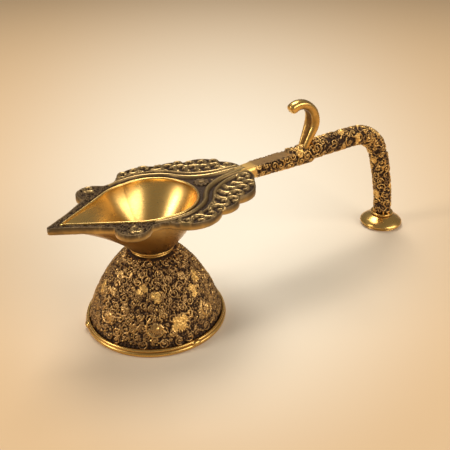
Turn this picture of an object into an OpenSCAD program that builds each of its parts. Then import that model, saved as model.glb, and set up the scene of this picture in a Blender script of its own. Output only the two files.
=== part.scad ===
// Brass oil lamp: a domed stand, an oil bowl in a cast leaf border, and a level
// handle whose rear leg ends in a turned foot. The spout points along -X, the
// handle runs along +X, and the lamp stands on the plane z = 0.

/* [Stand] */
// Outside diameter of the rolled rim under the dome
rim_d = 80; // [70:1:90]
// Height of the rolled rim
rim_h = 2.9; // [2.5:0.1:4]
// Thickness of the wire soldered on the rolled rim
wire_d = 1.8; // [1.4:0.1:2.2]
// Outside radius of the dome where it meets the rim
dome_r = 37.5; // [37:0.1:38]
// Height of the flat crown of the dome above the floor
crown_z = 43.6; // [41:0.1:46]
// Wall thickness of the dome
dome_wall = 2.4; // [2:0.1:3]
// Directions of the three rim lugs about the stand's axis
lug_turns = [-87, 40, 166]; // [-180:1:180]

/* [Neck] */
// Outside radius of the upper band of the collar
collar_r = 12.6; // [12:0.1:14]
// Height of the collar
collar_h = 3.5; // [3:0.1:5]
// Radius of the threaded stud under the bowl
stud_r = 5; // [4:0.1:6]
// Running clearance of turned fits, on the radius
fit_gap = 0.05; // [0.02:0.01:0.08]
// Gap between seats that turn on each other
seat_gap = 0.05; // [0.02:0.01:0.1]

/* [Bowl] */
// Height of the bowl's rim above the floor
bowl_rim_z = 74.2; // [72:0.1:77]
// Distance from the stand's axis forward to the point of the bowl
nose_reach = 49.4; // [46:0.1:52]
// Radius of the wide rear half of the bowl
heel_r = 24.8; // [24:0.1:25.2]
// Radius of the front cheek of the bowl
cheek_r = 24; // [23:0.1:24.2]
// Wall thickness of the bowl
bowl_wall = 1.5; // [1.2:0.1:1.8]

/* [Border plate] */
// Distance from the stand's axis forward to the tip of the plate
tip_reach = 56.4; // [55:0.1:58]
// Thickness of the plate
plate_t = 3.4; // [3:0.1:4]

/* [Handle] */
// Distance from the stand's axis to the foot's axis
foot_reach = 185.5; // [182:0.5:189]
// Height of the smooth flat on top of the arm
flat_z = 75.9; // [75.5:0.1:76.4]
// Radius of the round grip
grip_r = 5.8; // [5.5:0.1:6]
// Radius of the bend that turns the grip down into the leg
bend_r = 27.6; // [26:0.2:29]

/* [Foot] */
// Radius of the foot at its widest
foot_r = 14.6; // [13:0.1:16]
// Height of the foot with its ring
foot_h = 10; // [9:0.1:11]

/* [Hidden] */
$fn = 96;
EPS = 0.01;

brass = [0.72, 0.55, 0.28];
bright_brass = [0.85, 0.68, 0.36];
dark_brass = [0.45, 0.33, 0.18];

// The origin is on the floor, midway between the plate's tip and the foot's rear edge
mid_x = (foot_reach + foot_r - tip_reach) / 2;
base_x = -mid_x;
foot_x = foot_reach - mid_x;

// Stand
rim_r = rim_d / 2;
wire_x = rim_r - 1.5;
wire_z = rim_h + wire_d / 2 - 0.2;
dome_peak = crown_z + 4.5;
hole_r = stud_r + 0.3;
washer_t = 1.2;
nut_h = 7;
ceiling_z = crown_z - dome_wall;
nut_top = ceiling_z - washer_t;

// Neck
collar_z = crown_z + seat_gap;
bowl_z = collar_z + collar_h + seat_gap;
stud_z = nut_top - nut_h - 1;

// Bowl: the outline is two discs and the straight cheeks that meet at the point
heel_x = 2.5;
cheek_x = -4;
cheek_slope = asin(cheek_r / (nose_reach + cheek_x));
cheek_turn = 90 + cheek_slope;
cheek_reach = nose_reach * sin(cheek_slope);
cheek_start = atan2(
    cheek_r * cos(cheek_slope),
    cheek_x - cheek_r * sin(cheek_slope)
);
bowl_foot_r = 13.2;
bowl_steps = 9;
bowl_turns = 72;
plate_z = bowl_rim_z - plate_t - 0.7;

// Handle
arm_x = 56;
arm_w = 8.6;
tang_x = 29.5;
tang_t = 3;
bar_x = 66;
arm_end = 111.5;
arm_z = 72.6;
grip_z = 74.5;
spigot_r = 3;
spigot_l = 12;
bend_x = foot_reach - 36.8;
bend_turn = 69;
leg_turn = 15.4;
leg_r = grip_r - 0.3;
leg_bend_r = 181;
hook_x = 106.8;
hook_seat_z = 77;
hook_sides = 20;
tenon_r = 1.8;

// Points of the hook's centre line in X and Z, with its thickness and width there
hook_path = [
    [106.8, 77.0, 3.6, 6.0],
    [108.4, 81.0, 3.8, 6.8],
    [110.6, 85.5, 4.4, 8.2],
    [112.4, 90.0, 4.8, 9.2],
    [112.8, 94.5, 4.8, 9.0],
    [111.6, 98.8, 4.8, 8.0],
    [108.6, 102.2, 4.6, 7.2],
    [104.8, 104.1, 4.6, 6.6],
    [100.6, 104.4, 4.8, 6.0],
    [97.6, 103.4, 5.2, 5.6],
    [95.8, 102.2, 2.8, 3.2]
];

// Rivets through the plate and the tang
rosette_x = 33.2;
rosette_pin_r = 1.6;
rivet_places = [41, 50];
rivet_r = 1.4;

// Foot
ring_h = 1.5;
ring_r = 7.9;
cone_top = foot_h - ring_h - seat_gap;
foot_stud_r = 2.5;

function disc_reach(turn, x, r) = x * cos(turn) + sqrt(r * r - pow(x * sin(turn), 2));

// Distance from the stand's axis to the bowl's outline, at a turn from the rear
function rim_reach(turn) =
    let (t = turn > 180 ? 360 - turn : turn)
    t > cheek_start
        ? cheek_reach / cos(t - cheek_turn)
        : max(disc_reach(t, heel_x, heel_r), disc_reach(t, cheek_x, cheek_r));

// Share of the way from the bowl's foot out to its outline, at a share of its height:
// full and round at the sides, and a shallow keel towards the point
function bowl_swell(s, reach) =
    let (keel = (reach - heel_r) / (nose_reach - heel_r))
    pow(1 - pow(1 - s, 1.5 - 0.6 * keel), 1 + 0.5 * keel);

// One level of the bowl's surface, inset from the outline
function bowl_level(s, z, inset) = [
    for (i = [0:bowl_turns - 1])
        let (
            a = i * 360 / bowl_turns,
            reach = max(rim_reach(a), heel_r),
            r = bowl_foot_r + (rim_reach(a) - bowl_foot_r) * bowl_swell(s, reach) - inset
        )
        [r * cos(a), r * sin(a), z]
];

function flatten(rows) = [for (row = rows) for (p = row) p];

// Quads between neighbouring levels, closed by one face at each end
function skin_faces(levels, n) = concat(
    [[for (i = [0:n - 1]) i]],
    [
        for (k = [0:levels - 2], i = [0:n - 1])
            let (j = (i + 1) % n)
            [k * n + i, (k + 1) * n + i, (k + 1) * n + j, k * n + j]
    ],
    [[for (i = [n - 1:-1:0]) (levels - 1) * n + i]]
);

module at_stand() {
    translate([base_x, 0, 0]) children();
}

module at_foot() {
    translate([foot_x, 0, 0]) children();
}

// A straight round bar along X between two places, with a radius at each
module bar_x(x0, x1, z, r0, r1) {
    translate([x0, 0, z]) rotate([0, 90, 0]) cylinder(h = x1 - x0, r1 = r0, r2 = r1);
}

// An arc of round bar in the XZ plane about a centre, from one angle to another
module bar_arc(centre, sweep_r, from, to, r) {
    translate([centre[0], 0, centre[1]])
        rotate([90, 0, 0])
            rotate([0, 0, from])
                rotate_extrude(angle = to - from) translate([sweep_r, 0]) circle(r = r);
}

// --- Stand ---

function dome_reach(z) =
    let (s = (z - rim_h) / (dome_peak - rim_h))
    dome_r * sqrt(1 - pow(s, 1.15));

module dome_profile(inset, top) {
    steps = 14;
    polygon(concat(
        [[0, rim_h]],
        [
            for (i = [0:steps])
                let (z = rim_h + (crown_z - rim_h) * sin(90 * i / steps))
                [dome_reach(z) - inset, min(z, top)]
        ],
        [[0, top]]
    ));
}

module base_dome() {
    color(dark_brass) at_stand() difference() {
        rotate_extrude() dome_profile(0, crown_z);
        rotate_extrude() dome_profile(dome_wall, ceiling_z);
        cylinder(h = rim_h + EPS, r = dome_r - dome_wall - EPS);
        cylinder(h = crown_z + 1, r = hole_r);
    }
}

module rolled_rim() {
    edge = rim_h / 2;
    difference() {
        union() {
            rotate_extrude() translate([rim_r - edge, edge]) circle(r = edge);
            cylinder(h = rim_h, r = rim_r - edge);
        }
        translate([0, 0, -1]) cylinder(h = rim_h + 2, r = dome_r - dome_wall);
    }
}

module wire_ring() {
    rotate_extrude() translate([wire_x, wire_z]) circle(r = wire_d / 2, $fn = 32);
}

module lug_blocks() {
    for (turn = lug_turns)
        rotate([0, 0, turn]) translate([wire_x + 0.5, -2.6, 1.2]) cube([1.5, 5.2, 3.4]);
}

module base_rim() {
    color(bright_brass) at_stand() difference() {
        rolled_rim();
        wire_ring();
        lug_blocks();
    }
}

module rim_wire() {
    color(brass) at_stand() difference() {
        wire_ring();
        rotate_extrude() dome_profile(0, crown_z);
        lug_blocks();
    }
}

module rim_lugs() {
    color(bright_brass) at_stand() lug_blocks();
}

module crown_washer() {
    color(brass) at_stand() translate([0, 0, nut_top]) difference() {
        cylinder(h = washer_t, r = 10);
        translate([0, 0, -1]) cylinder(h = washer_t + 2, r = hole_r);
    }
}

module crown_nut() {
    color(brass) at_stand() translate([0, 0, nut_top - nut_h]) difference() {
        cylinder(h = nut_h, r = 9.4, $fn = 6);
        translate([0, 0, -1]) cylinder(h = nut_h + 2, r = stud_r + fit_gap);
    }
}

// --- Neck ---

module neck_collar() {
    groove_r = 0.5;
    low_r = collar_r - 0.8;
    color(bright_brass) at_stand() translate([0, 0, collar_z]) difference() {
        rotate_extrude() {
            square([low_r, collar_h]);
            translate([0, collar_h / 2]) square([collar_r - 0.6, collar_h / 2]);
            translate([collar_r - collar_h / 4, collar_h * 3 / 4]) circle(r = collar_h / 4);
            translate([low_r - 0.2, 0.7]) circle(r = 0.7);
        }
        rotate_extrude() translate([collar_r - 0.5, collar_h / 2 - 0.2]) circle(r = groove_r);
        translate([0, 0, -1]) cylinder(h = collar_h + 2, r = stud_r + fit_gap);
    }
}

// --- Bowl unit ---

module bowl_stud() {
    color(brass) at_stand() translate([0, 0, stud_z]) cylinder(h = bowl_z - stud_z, r = stud_r);
}

module bowl_skin() {
    z_side = plate_z - 0.6;
    floor_z = bowl_z + 2;
    outer = [
        for (i = [0:bowl_steps])
            let (s = i / bowl_steps)
            bowl_level(s, bowl_z + (z_side - bowl_z) * s, 0)
    ];
    inner = [
        for (i = [bowl_steps:-1:0])
            let (s = i / bowl_steps)
            bowl_level(s, floor_z + (z_side - floor_z) * s, bowl_wall * (1 + (1 - s)))
    ];
    levels = concat(
        outer,
        [bowl_level(1, bowl_rim_z, 0), bowl_level(1, bowl_rim_z, bowl_wall)],
        inner
    );
    polyhedron(
        points = flatten(levels),
        faces = skin_faces(len(levels), bowl_turns),
        convexity = 6
    );
}

module bowl() {
    color(bright_brass) at_stand() bowl_skin();
}

module bowl_outline() {
    polygon([for (p = bowl_level(1, 0, 0)) [p[0], p[1]]]);
}

// Leaf lobes of the border: centre along X, centre across, radius
leaf_lobes = [[-21.3, 23, 8.8], [11, 21.6, 17.4], [29, 22.8, 10.8], [42.5, 14.2, 13.8], [50.5, 5.2, 12.2]];

// Border between the lobes, from the tip back, on the left side
border_edge = [[-42, 8.8], [-32, 16.2], [-18, 27.5], [-8, 27.8], [0, 31.5], [38, 25], [52, 10]];

module plate_outline() {
    n = len(border_edge);
    polygon(concat(
        [[-tip_reach, 0]],
        [for (p = border_edge) [p[0], -p[1]]],
        [for (i = [n - 1:-1:0]) border_edge[i]]
    ));
    for (side = [-1, 1], lobe = leaf_lobes)
        translate([lobe[0], side * lobe[1]]) circle(r = lobe[2]);
}

module border_plate() {
    slot_w = arm_w;
    color(brass) at_stand() translate([0, 0, plate_z]) difference() {
        linear_extrude(height = plate_t) difference() {
            plate_outline();
            bowl_outline();
            translate([arm_x, -slot_w / 2]) square([20, slot_w]);
        }
        translate([rosette_x, 0, -1]) cylinder(h = plate_t + 2, r = rosette_pin_r);
        for (x = rivet_places)
            translate([x, 0, -1]) cylinder(h = plate_t + 2, r = rivet_r);
    }
}

module petal_outline() {
    petals = 8;
    circle(r = 3.2);
    for (i = [0:petals - 1])
        rotate([0, 0, i * 360 / petals]) translate([3.1, 0]) circle(r = 1.5);
}

module rosette_rivet() {
    color(dark_brass) at_stand() translate([rosette_x, 0, plate_z]) {
        translate([0, 0, -tang_t - 0.4]) cylinder(h = tang_t + plate_t + 0.8, r = rosette_pin_r);
        translate([0, 0, -tang_t - 0.8]) cylinder(h = 0.8, r = 2.6);
        translate([0, 0, plate_t]) linear_extrude(height = 0.8) petal_outline();
        translate([0, 0, plate_t + 0.4]) cylinder(h = 1.1, r = 1.9);
    }
}

module tang_rivets() {
    color(brass) at_stand() for (x = rivet_places) translate([x, 0, plate_z]) {
        translate([0, 0, -tang_t]) cylinder(h = tang_t + plate_t, r = rivet_r);
        translate([0, 0, -tang_t - 0.8]) cylinder(h = 0.8, r = 2.4);
    }
}

// --- Handle ---

module arm_body() {
    // Square root let into the plate, over the tang that runs forward under it
    translate([arm_x, -arm_w / 2, plate_z - tang_t])
        cube([bar_x - arm_x + 4, arm_w, flat_z - plate_z + tang_t]);
    translate([tang_x, -4, plate_z - tang_t]) cube([arm_x - tang_x + 1, 8, tang_t]);
    // Bar that swells from the root to the hook, with a flat filed along its top
    difference() {
        bar_x(bar_x, arm_end, arm_z, 4.5, 5.4);
        translate([bar_x - 1, -10, flat_z]) cube([34, 20, 10]);
    }
    // Spigot for the grip
    bar_x(arm_end - 1, arm_end + spigot_l, arm_z + 0.6, spigot_r, spigot_r);
}

module handle_arm() {
    color(brass) at_stand() difference() {
        arm_body();
        translate([rosette_x, 0, plate_z - tang_t - 1]) cylinder(h = tang_t + 2, r = rosette_pin_r);
        for (x = rivet_places)
            translate([x, 0, plate_z - tang_t - 1]) cylinder(h = tang_t + 2, r = rivet_r);
        translate([hook_x, 0, arm_z]) cylinder(h = 10, r = tenon_r);
        hook_seat();
    }
}

// The hook sits in a shallow flat cut across the top of the arm
module hook_seat() {
    translate([hook_x - 3.2, -8, hook_seat_z]) cube([6.4, 16, 4]);
}

function unit(v) = v / norm(v);

function hook_ring(i) =
    let (
        n = len(hook_path),
        p = hook_path[i],
        ahead = hook_path[min(i + 1, n - 1)],
        behind = hook_path[max(i - 1, 0)],
        d = i == 0 ? [0, 1] : unit([ahead[0] - behind[0], ahead[1] - behind[1]])
    )
    [
        for (k = [0:hook_sides - 1])
            let (
                a = k * 360 / hook_sides,
                t = p[2] / 2 * cos(a),
                w = p[3] / 2 * sin(a)
            )
            [p[0] + t * d[1], w, p[1] - t * d[0]]
    ];

module thumb_hook() {
    rings = [for (i = [0:len(hook_path) - 1]) hook_ring(i)];
    color(bright_brass) at_stand() {
        polyhedron(
            points = flatten(rings),
            faces = skin_faces(len(rings), hook_sides),
            convexity = 4
        );
        translate([hook_x, 0, arm_z]) cylinder(h = hook_seat_z - arm_z + 0.5, r = tenon_r);
    }
}

module handle_grip() {
    bend_centre = [bend_x, grip_z - bend_r];
    bend_end = bend_centre + bend_r * [sin(bend_turn), cos(bend_turn)];
    leg_centre = bend_end - leg_bend_r * [sin(bend_turn), cos(bend_turn)];
    bar_low = foot_h;
    color(brass) at_stand() difference() {
        union() {
            bar_x(arm_end, bend_x, grip_z, grip_r, grip_r);
            bar_arc(bend_centre, bend_r, 90 - bend_turn, 92, grip_r - 0.1);
            bar_arc(leg_centre, leg_bend_r, 90 - bend_turn - leg_turn - 2, 91 - bend_turn, leg_r);
        }
        bar_x(arm_end - 1, arm_end + spigot_l, arm_z + 0.6, spigot_r, spigot_r);
        translate([foot_reach - 20, -20, -30]) cube([40, 40, 30 + bar_low]);
        translate([foot_reach, 0, 0]) cylinder(h = foot_h + 9, r = foot_stud_r);
    }
}

// --- Foot ---

module foot_stud() {
    color(brass) at_foot() translate([0, 0, 2.4]) cylinder(h = foot_h + 6.6, r = foot_stud_r);
}

module foot_ring() {
    color(bright_brass) at_foot() translate([0, 0, cone_top + seat_gap]) difference() {
        union() {
            rotate_extrude() translate([ring_r - ring_h / 2, (ring_h - seat_gap) / 2])
                circle(r = (ring_h - seat_gap) / 2);
            cylinder(h = ring_h - seat_gap, r = ring_r - ring_h / 2);
        }
        translate([0, 0, -1]) cylinder(h = ring_h + 2, r = foot_stud_r + fit_gap);
    }
}

module foot_cone() {
    lip_h = 1.3;
    widest_z = 2.8;
    color(bright_brass) at_foot() difference() {
        rotate_extrude() {
            polygon([
                [0, lip_h], [foot_r - 1.6, lip_h], [foot_r, widest_z], [foot_r - 0.4, widest_z + 0.5],
                [10.2, 6.2], [7.4, 7.6], [6.8, cone_top], [0, cone_top]
            ]);
            polygon([[0, 0], [foot_r - 2.2, 0], [foot_r - 1.2, lip_h / 2], [foot_r - 1.9, lip_h], [0, lip_h]]);
        }
        translate([0, 0, -1]) cylinder(h = foot_h + 2, r = foot_stud_r + fit_gap);
        translate([0, 0, -1]) cylinder(h = 3, r = 9);
    }
}

base_dome();
base_rim();
rim_wire();
rim_lugs();
crown_nut();
crown_washer();
neck_collar();
bowl_stud();
bowl();
border_plate();
rosette_rivet();
tang_rivets();
handle_arm();
thumb_hook();
handle_grip();
foot_stud();
foot_ring();
foot_cone();
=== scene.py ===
"""A brass oil lamp: domed relief stand, satin bowl in a cast leaf border, handle and turned foot."""

import logging
import math
from dataclasses import dataclass, field
from enum import Enum
from typing import Callable, Sequence

import bmesh
import bpy
import numpy as np
from mathutils import Matrix, Vector

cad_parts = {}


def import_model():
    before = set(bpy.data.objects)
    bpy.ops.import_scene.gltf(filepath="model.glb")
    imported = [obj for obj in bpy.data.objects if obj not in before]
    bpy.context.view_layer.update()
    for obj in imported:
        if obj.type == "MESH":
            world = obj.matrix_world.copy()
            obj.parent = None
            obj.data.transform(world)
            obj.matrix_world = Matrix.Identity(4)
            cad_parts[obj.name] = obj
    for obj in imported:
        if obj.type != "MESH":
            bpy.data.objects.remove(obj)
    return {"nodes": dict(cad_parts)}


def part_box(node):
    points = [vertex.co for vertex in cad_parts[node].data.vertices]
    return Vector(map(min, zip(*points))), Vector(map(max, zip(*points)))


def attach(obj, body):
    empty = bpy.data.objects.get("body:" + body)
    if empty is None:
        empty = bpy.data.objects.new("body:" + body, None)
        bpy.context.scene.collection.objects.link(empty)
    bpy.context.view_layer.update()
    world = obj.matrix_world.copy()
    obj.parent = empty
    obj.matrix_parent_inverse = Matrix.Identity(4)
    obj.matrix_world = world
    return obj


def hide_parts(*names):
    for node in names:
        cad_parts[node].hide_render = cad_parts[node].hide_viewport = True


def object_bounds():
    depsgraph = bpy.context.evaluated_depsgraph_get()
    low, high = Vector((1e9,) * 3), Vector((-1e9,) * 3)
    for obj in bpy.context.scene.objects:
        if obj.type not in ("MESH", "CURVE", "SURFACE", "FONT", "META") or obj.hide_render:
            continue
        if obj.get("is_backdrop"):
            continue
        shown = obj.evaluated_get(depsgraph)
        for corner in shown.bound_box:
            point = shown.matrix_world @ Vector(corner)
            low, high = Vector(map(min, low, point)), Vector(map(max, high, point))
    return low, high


LOG = logging.getLogger("oil_lamp")
MM = 0.001
TAU = 2 * math.pi
CREASE = math.radians(38)
WELD = 0.02

Triple = tuple[float, float, float]
Colour = Triple
Shape = Callable[[np.ndarray, np.ndarray], np.ndarray]


class Hand(Enum):
    """Which way a scroll winds."""

    LEFT = 1
    RIGHT = -1


class Body(Enum):
    """What a piece moves with."""

    STAND = "stand"
    COLLAR = "collar"
    LAMP_TOP = "lamp_top"
    RING = "ring"
    FOOT = "foot"


class Slot(Enum):
    """The record's material slots."""

    RELIEF = "aged_relief_brass"
    TURNED = "turned_brass"
    SATIN = "satin_bowl_brass"
    HOOK = "hook_brass"
    ROUGH = "rough_brass"


# --- Shader expressions ---


class Value:
    """A number socket that can be used in ordinary arithmetic."""

    def __init__(self, graph: "Graph", socket: bpy.types.NodeSocket) -> None:
        """Keeps the graph and the socket that gives the number."""
        self.graph = graph
        self.socket = socket

    def _math(self, operation: str, *inputs: object, clamp: bool = False) -> "Value":
        """Adds one Math node.

        Args:
            operation: The node's operation.
            inputs: Values or numbers for its sockets, in order.
            clamp: Whether the result is held between 0 and 1.

        Returns:
            The node's result.
        """
        settings = {"operation": operation, "use_clamp": clamp}
        return self.graph.value("ShaderNodeMath", settings, dict(enumerate(inputs)))

    def __add__(self, other: object) -> "Value":
        """Returns the sum."""
        return self._math("ADD", self, other)

    __radd__ = __add__

    def __sub__(self, other: object) -> "Value":
        """Returns the difference."""
        return self._math("SUBTRACT", self, other)

    def __rsub__(self, other: object) -> "Value":
        """Returns the difference with the sides changed over."""
        return self._math("SUBTRACT", other, self)

    def __mul__(self, other: object) -> "Value":
        """Returns the product."""
        return self._math("MULTIPLY", self, other)

    __rmul__ = __mul__

    def __truediv__(self, other: object) -> "Value":
        """Returns the quotient."""
        return self._math("DIVIDE", self, other)

    def __rtruediv__(self, other: object) -> "Value":
        """Returns the quotient with the sides changed over."""
        return self._math("DIVIDE", other, self)

    def __pow__(self, other: object) -> "Value":
        """Returns the power."""
        return self._math("POWER", self, other)

    def clamped(self) -> "Value":
        """Returns the number held between 0 and 1."""
        return self._math("ADD", self, 0.0, clamp=True)

    def most(self, other: object) -> "Value":
        """Returns the larger of the two."""
        return self._math("MAXIMUM", self, other)

    def band(self, low: float, high: float) -> "Value":
        """Rises smoothly from 0 at low to 1 at high.

        Args:
            low: Where the result is 0.
            high: Where the result is 1.

        Returns:
            The eased share of the way.
        """
        settings = {"interpolation_type": "SMOOTHSTEP"}
        inputs = {"Value": self, "From Min": low, "From Max": high}
        return self.graph.value("ShaderNodeMapRange", settings, inputs)


class Graph:
    """One material's nodes."""

    def __init__(self, name: str) -> None:
        """Starts an empty material with a metal shader.

        Args:
            name: The material's name.
        """
        self.material = bpy.data.materials.new(name)
        self.material.use_nodes = True
        self.tree = self.material.node_tree
        self.tree.nodes.clear()
        self.output = self.tree.nodes.new("ShaderNodeOutputMaterial")
        self.shader = self.tree.nodes.new("ShaderNodeBsdfPrincipled")
        self.tree.links.new(self.shader.outputs[0], self.output.inputs["Surface"])

    def node(self, kind: str, settings: dict, inputs: dict) -> bpy.types.Node:
        """Creates a node.

        Args:
            kind: The node's type.
            settings: Its properties, with a ramp's stops under "stops".
            inputs: Values or links, by socket name or number.

        Returns:
            The node.
        """
        made = self.tree.nodes.new(kind)
        for key, setting in settings.items():
            if key == "stops":
                self._stops(made, setting)
            else:
                setattr(made, key, setting)
        for key, given in inputs.items():
            self.feed(made.inputs[key], given)
        return made

    def _stops(self, ramp: bpy.types.Node, stops: Sequence[tuple[float, Colour]]) -> None:
        """Writes a ramp's stops.

        Args:
            ramp: The ramp's node.
            stops: Pairs of place and colour.
        """
        elements = ramp.color_ramp.elements
        while len(elements) < len(stops):
            elements.new(1.0)
        for element, (place, colour) in zip(elements, stops):
            element.position = place
            element.color = (*colour, 1.0)

    def feed(self, socket: bpy.types.NodeSocket, given: object) -> None:
        """Links a socket, or sets its value."""
        if isinstance(given, Value):
            self.tree.links.new(given.socket, socket)
        elif isinstance(given, bpy.types.NodeSocket):
            self.tree.links.new(given, socket)
        elif socket.type == "RGBA" and len(given) == 3:
            socket.default_value = (*given, 1.0)
        else:
            socket.default_value = given

    def value(self, kind: str, settings: dict, inputs: dict, output: object = 0) -> Value:
        """Creates a node and returns one of its outputs as a number."""
        return Value(self, self.node(kind, settings, inputs).outputs[output])

    def attribute(self, name: str) -> Value:
        """Returns a mesh attribute as a number."""
        return self.value("ShaderNodeAttribute", {"attribute_name": name}, {}, "Fac")

    def _moved(self, operation: str, by: Triple) -> bpy.types.NodeSocket:
        """Returns the object's own coordinates after one Vector Math node."""
        here = self.node("ShaderNodeTexCoord", {}, {}).outputs["Object"]
        return self.node("ShaderNodeVectorMath", {"operation": operation}, {0: here, 1: by}).outputs[0]

    def place(self, scale: Triple = (1.0, 1.0, 1.0)) -> bpy.types.NodeSocket:
        """Returns the object's own coordinates, scaled along each axis."""
        return self._moved("MULTIPLY", scale)

    def about(self, axis: tuple[float, float]) -> list[Value]:
        """Returns the object's own X, Y and Z, measured from an upright axis."""
        split = self.node("ShaderNodeSeparateXYZ", {}, {0: self._moved("SUBTRACT", (*axis, 0.0))})
        return [Value(self, part) for part in split.outputs]

    def noise(self, where: object, scale: float, detail: float = 3.0, rough: float = 0.55) -> Value:
        """Returns a noise pattern.

        Args:
            where: The coordinates.
            scale: Patches per metre.
            detail: Number of finer layers.
            rough: Strength of the finer layers.

        Returns:
            The pattern, from about 0.3 to 0.7.
        """
        inputs = {"Vector": where, "Scale": scale, "Detail": detail, "Roughness": rough}
        return self.value("ShaderNodeTexNoise", {}, inputs, "Fac")

    def mix(self, share: object, first: object, second: object) -> bpy.types.NodeSocket:
        """Returns a colour between two others."""
        inputs = {0: share, 6: first, 7: second}
        return self.node("ShaderNodeMix", {"data_type": "RGBA"}, inputs).outputs[2]

    def ramp(self, share: Value, stops: Sequence[tuple[float, Colour]]) -> bpy.types.NodeSocket:
        """Returns a colour read from stops."""
        return self.node("ShaderNodeValToRGB", {"stops": stops}, {0: share}).outputs[0]

    def bump(self, height: Value, strength: float, distance: float) -> None:
        """Roughens the surface by a height pattern."""
        inputs = {"Height": height, "Strength": strength, "Distance": distance}
        self.feed(self.shader.inputs["Normal"], self.node("ShaderNodeBump", {}, inputs).outputs[0])

    def finish(self, colour: object, metallic: object, roughness: object) -> bpy.types.Material:
        """Feeds the shader's main sockets and returns the material."""
        for key, given in (("Base Color", colour), ("Metallic", metallic), ("Roughness", roughness)):
            self.feed(self.shader.inputs[key], given)
        return self.material


# --- Finishes ---


@dataclass(frozen=True)
class ReliefPatina:
    """Cast relief: dark patina in recesses, bright rubbed high points, painted highlight on crests."""

    name: str
    # recess is the patina in the hollows; height is the pale crest colour, a painted highlight.
    recess: Colour = (0.045, 0.02, 0.008)
    middle: Colour = (0.23, 0.12, 0.042)
    height: Colour = (0.60, 0.36, 0.13)
    rubbed: Colour = (0.80, 0.48, 0.14)
    low: float = 0.14
    high: float = 0.95

    def make(self) -> bpy.types.Material:
        """Makes the finish, which reads the attributes relief and rub.

        Returns:
            The material.
        """
        g = Graph(self.name)
        here = g.place()
        relief = g.attribute("relief")
        rub = g.attribute("rub")
        broad = g.noise(here, scale=90.0)
        fine = g.noise(here, scale=900.0, detail=4.0, rough=0.65)
        lifted = (relief + (broad - 0.5) * 0.5 + (fine - 0.5) * 0.25).clamped()
        # The steep power narrows the pale height colour to each crest: a painted highlight there, painted
        # shade down the sides, patina in the recesses.
        span = ((lifted - self.low) / (self.high - self.low)).clamped() ** 1.9
        aged = g.ramp(span.clamped(), [(0.0, self.recess), (0.45, self.middle), (1.0, self.height)])
        share = (rub + (broad - 0.5) * 0.5).band(0.35, 0.75)
        colour = g.mix(share, aged, self.rubbed)
        rough = (0.6 - 0.3 * span.clamped() - 0.04 * share + (fine - 0.5) * 0.2).clamped()
        metallic = (0.6 + 0.4 * span.clamped()).clamped()
        g.bump(fine, 0.3, 0.0001)
        return g.finish(colour, metallic, rough)


@dataclass(frozen=True)
class SatinBrass:
    """Brass brushed to a satin sheen in one direction, with a few faint marks."""

    name: str
    pale: Colour = (0.82, 0.53, 0.17)
    deep: Colour = (0.55, 0.31, 0.085)
    tarnished: Colour = (0.34, 0.18, 0.055)
    roughness: float = 0.3

    def make(self) -> bpy.types.Material:
        """Makes the finish, which reads the attribute tarnish.

        Returns:
            The material.
        """
        g = Graph(self.name)
        brushed = g.noise(g.place((0.06, 0.06, 1.0)), scale=5200.0, detail=2.0, rough=0.5)
        cloudy = g.noise(g.place(), scale=55.0, detail=3.0, rough=0.6)
        specks = g.noise(g.place(), scale=1400.0, detail=2.0, rough=0.5).band(0.66, 0.74)
        colour = g.mix((0.25 + (cloudy - 0.5) * 1.3 + (brushed - 0.5) * 0.5).clamped(), self.pale, self.deep)
        tarnish = (g.attribute("tarnish") * (1.2 - cloudy * 0.8)).clamped()
        aged = g.mix(tarnish, g.mix(specks * 0.5, colour, (0.22, 0.12, 0.04)), self.tarnished)
        rough = (self.roughness + (cloudy - 0.5) * 0.18 + (brushed - 0.5) * 0.22).clamped()
        g.bump(brushed + specks * -0.8, 0.16, 0.00006)
        return g.finish(aged, 1.0, rough)


@dataclass(frozen=True)
class TurnedBrass:
    """Brass turned on a lathe about a vertical axis, with tarnish in its grooves."""

    name: str
    axis: tuple[float, float] = (0.0, 0.0)
    pale: Colour = (0.80, 0.49, 0.14)
    deep: Colour = (0.26, 0.13, 0.035)
    roughness: float = 0.26

    def make(self) -> bpy.types.Material:
        """Makes the finish, which reads the attribute groove.

        Returns:
            The material.
        """
        g = Graph(self.name)
        x, y, z = g.about(self.axis)
        reach = (x * x + y * y) ** 0.5
        turned = g.node("ShaderNodeCombineXYZ", {}, {0: reach, 1: z}).outputs[0]
        lathe = g.noise(turned, scale=2600.0, detail=2.0, rough=0.5)
        cloudy = g.noise(g.place(), scale=130.0, detail=3.0, rough=0.6)
        groove = g.attribute("groove")
        share = (0.2 + (cloudy - 0.5) * 0.5 + (lathe - 0.5) * 0.3 + groove * 0.9).clamped()
        colour = g.mix(share, self.pale, self.deep)
        rough = (self.roughness + (cloudy - 0.5) * 0.16 + groove * 0.25).clamped()
        g.bump(lathe, 0.2, 0.00006)
        return g.finish(colour, 1.0, rough)


@dataclass(frozen=True)
class FiledBrass:
    """Filed and burnished brass with tarnish where the punch went in and painted shade under the hook's
    curl.
    """

    name: str
    pale: Colour = (0.78, 0.48, 0.14)
    deep: Colour = (0.20, 0.10, 0.028)
    roughness: float = 0.27

    def make(self) -> bpy.types.Material:
        """Makes the finish, which reads the attribute groove.

        Returns:
            The material.
        """
        g = Graph(self.name)
        here = g.place()
        cloudy = g.noise(here, scale=170.0, detail=3.0, rough=0.6)
        grain = g.noise(here, scale=1500.0, detail=3.0, rough=0.6)
        groove = g.attribute("groove")
        # The groove mark darkens both the punched groove's tarnish and the painted shade under the hook's
        # curl.
        share = ((cloudy - 0.42) * 1.6 + groove * 1.0 + (grain - 0.5) * 0.3).clamped()
        colour = g.mix(share, self.pale, self.deep)
        rough = (self.roughness + groove * 0.2 + (cloudy - 0.5) * 0.2).clamped()
        g.bump(grain + cloudy * 0.5, 0.3, 0.00018)
        return g.finish(colour, 1.0, rough)


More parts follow.
